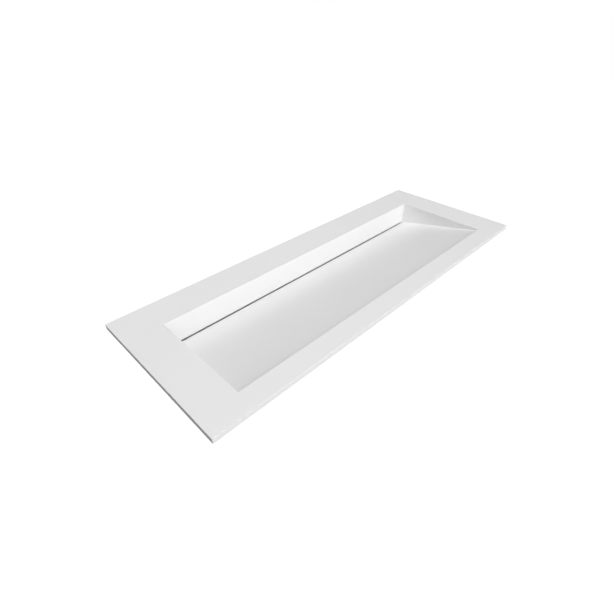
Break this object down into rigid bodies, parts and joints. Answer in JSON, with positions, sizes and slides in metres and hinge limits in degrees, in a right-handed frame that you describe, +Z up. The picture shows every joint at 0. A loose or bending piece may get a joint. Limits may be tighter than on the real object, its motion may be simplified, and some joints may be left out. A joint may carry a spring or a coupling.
{
  "type": "vanity basin",
  "caption": "Drop-on vanity basin: a thin white resin deck with a long rectangular bowl, whose sloping lift-out floor runs down to a slot under the rear wall.",
  "frame": {"origin": "centre of the deck's flat underside, the face that lies on the cabinet", "axes": "+X along the deck to the right as the user faces it, +Y to the wall behind, +Z up"},
  "size_m": [1.2, 0.45, 0.1955],
  "materials": {
    "mineral_resin": "satin",
    "mineral_resin_raw": "matte",
    "silicone": "satin",
    "white_silicone": "satin",
    "chromed_brass": "polished",
    "stainless_steel": "satin",
    "rubber": "matte",
    "nylon": "satin",
    "brass": "satin"
  },
  "bodies": {
    "basin": {"deck": "mineral_resin", "front_wall": "mineral_resin", "rear_wall": "mineral_resin", "left_cheek": "mineral_resin", "right_cheek": "mineral_resin", "bowl_floor": "mineral_resin", "trough_wall": "mineral_resin", "trough_back": "mineral_resin", "trough_floor_left": "mineral_resin", "trough_floor_right": "mineral_resin", "waste_plate": "mineral_resin", "front_ledge": "mineral_resin_raw", "left_ledge": "mineral_resin_raw", "right_ledge": "mineral_resin_raw", "waste_body": "chromed_brass", "waste_grid": "stainless_steel", "grid_screw": "stainless_steel", "flange_seal": "rubber", "underside_seal": "rubber", "slip_washer": "nylon", "backnut": "chromed_brass", "fixing_inserts": "brass"},
    "ramp": {"ramp_panel": "mineral_resin", "ramp_seals": "white_silicone", "ramp_ribs": "mineral_resin_raw", "ramp_pads": "silicone"}
  },
  "joints": [
    {"name": "ramp_lift", "type": "slide", "parent": "basin", "child": "ramp", "axis": [0, 0, 1], "range_m": [0, 0.11]}
  ]
}
